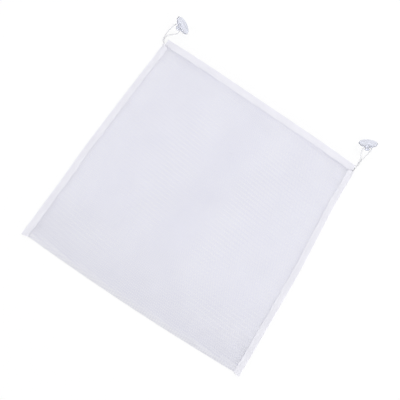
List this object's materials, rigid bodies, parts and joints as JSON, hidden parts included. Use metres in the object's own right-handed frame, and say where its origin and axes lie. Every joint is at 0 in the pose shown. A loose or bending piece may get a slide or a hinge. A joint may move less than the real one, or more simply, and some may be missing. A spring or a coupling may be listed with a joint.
{
  "type": "bath toy net bag",
  "caption": "Flat net bag for bath toys with bound sides and an open banded mouth, hung from clear suction cups on cord tethers at the mouth's corners.",
  "frame": {"origin": "middle of the back net's resting face", "axes": "+X to the right along the mouth, +Y from the bottom fold to the mouth, +Z out of the front net"},
  "size_m": [0.3931, 0.4388, 0.0216],
  "materials": {
    "net": "fine white mesh",
    "tape": "woven white tape",
    "cord": "twisted white cord",
    "cup": "soft clear vinyl, faintly blue"
  },
  "bodies": {
    "bag": {"net_back_panel": "net", "net_front_panel": "net", "left_side_binding": "tape", "right_side_binding": "tape", "mouth_band_back": "tape", "mouth_band_front": "tape", "left_tether_root": "cord", "right_tether_root": "cord"},
    "left_stem": {"left_tether_stem": "cord"},
    "left_legs": {"left_tether_inner_leg": "cord", "left_tether_outer_leg": "cord"},
    "left_loop": {"left_neck_loop": "cord"},
    "left_cup": {"left_suction_cup": "cup"},
    "right_stem": {"right_tether_stem": "cord"},
    "right_legs": {"right_tether_inner_leg": "cord", "right_tether_outer_leg": "cord"},
    "right_loop": {"right_neck_loop": "cord"},
    "right_cup": {"right_suction_cup": "cup"}
  },
  "joints": [
    {"name": "left_tether_swing", "type": "hinge", "parent": "bag", "child": "left_stem", "pos_m": [-0.1904, 0.1854, 0.0019], "axis": [0, 0, 1], "range_deg": [-35, 60]},
    {"name": "left_tether_fold", "type": "hinge", "parent": "left_stem", "child": "left_legs", "pos_m": [-0.1945, 0.1963, 0.001], "axis": [0.9895, 0.1448, 0], "range_deg": [0, 95]},
    {"name": "left_cup_tip", "type": "hinge", "parent": "left_legs", "child": "left_loop", "pos_m": [-0.18324, 0.22119, 0.00675], "axis": [-0.6455, 0.7638, 0], "range_deg": [-46, 134]},
    {"name": "left_cup_spin", "type": "hinge", "parent": "left_loop", "child": "left_cup", "pos_m": [-0.1792, 0.2246, 0.011], "axis": [0.5495, 0.4644, 0.6946], "continuous": true},
    {"name": "right_tether_swing", "type": "hinge", "parent": "bag", "child": "right_stem", "pos_m": [0.1883, 0.188, 0.0019], "axis": [0, 0, 1], "range_deg": [-70, 45]},
    {"name": "right_tether_fold", "type": "hinge", "parent": "right_stem", "child": "right_legs", "pos_m": [0.1897, 0.2034, 0.001], "axis": [0.9982, -0.0599, 0], "range_deg": [0, 95]},
    {"name": "right_cup_tip", "type": "hinge", "parent": "right_legs", "child": "right_loop", "pos_m": [0.18729, 0.22712, 0.00675], "axis": [-0.7157, -0.6984, 0], "range_deg": [-46, 134]},
    {"name": "right_cup_spin", "type": "hinge", "parent": "right_loop", "child": "right_cup", "pos_m": [0.1836, 0.2309, 0.011], "axis": [-0.5025, 0.5149, 0.6946], "continuous": true}
  ]
}
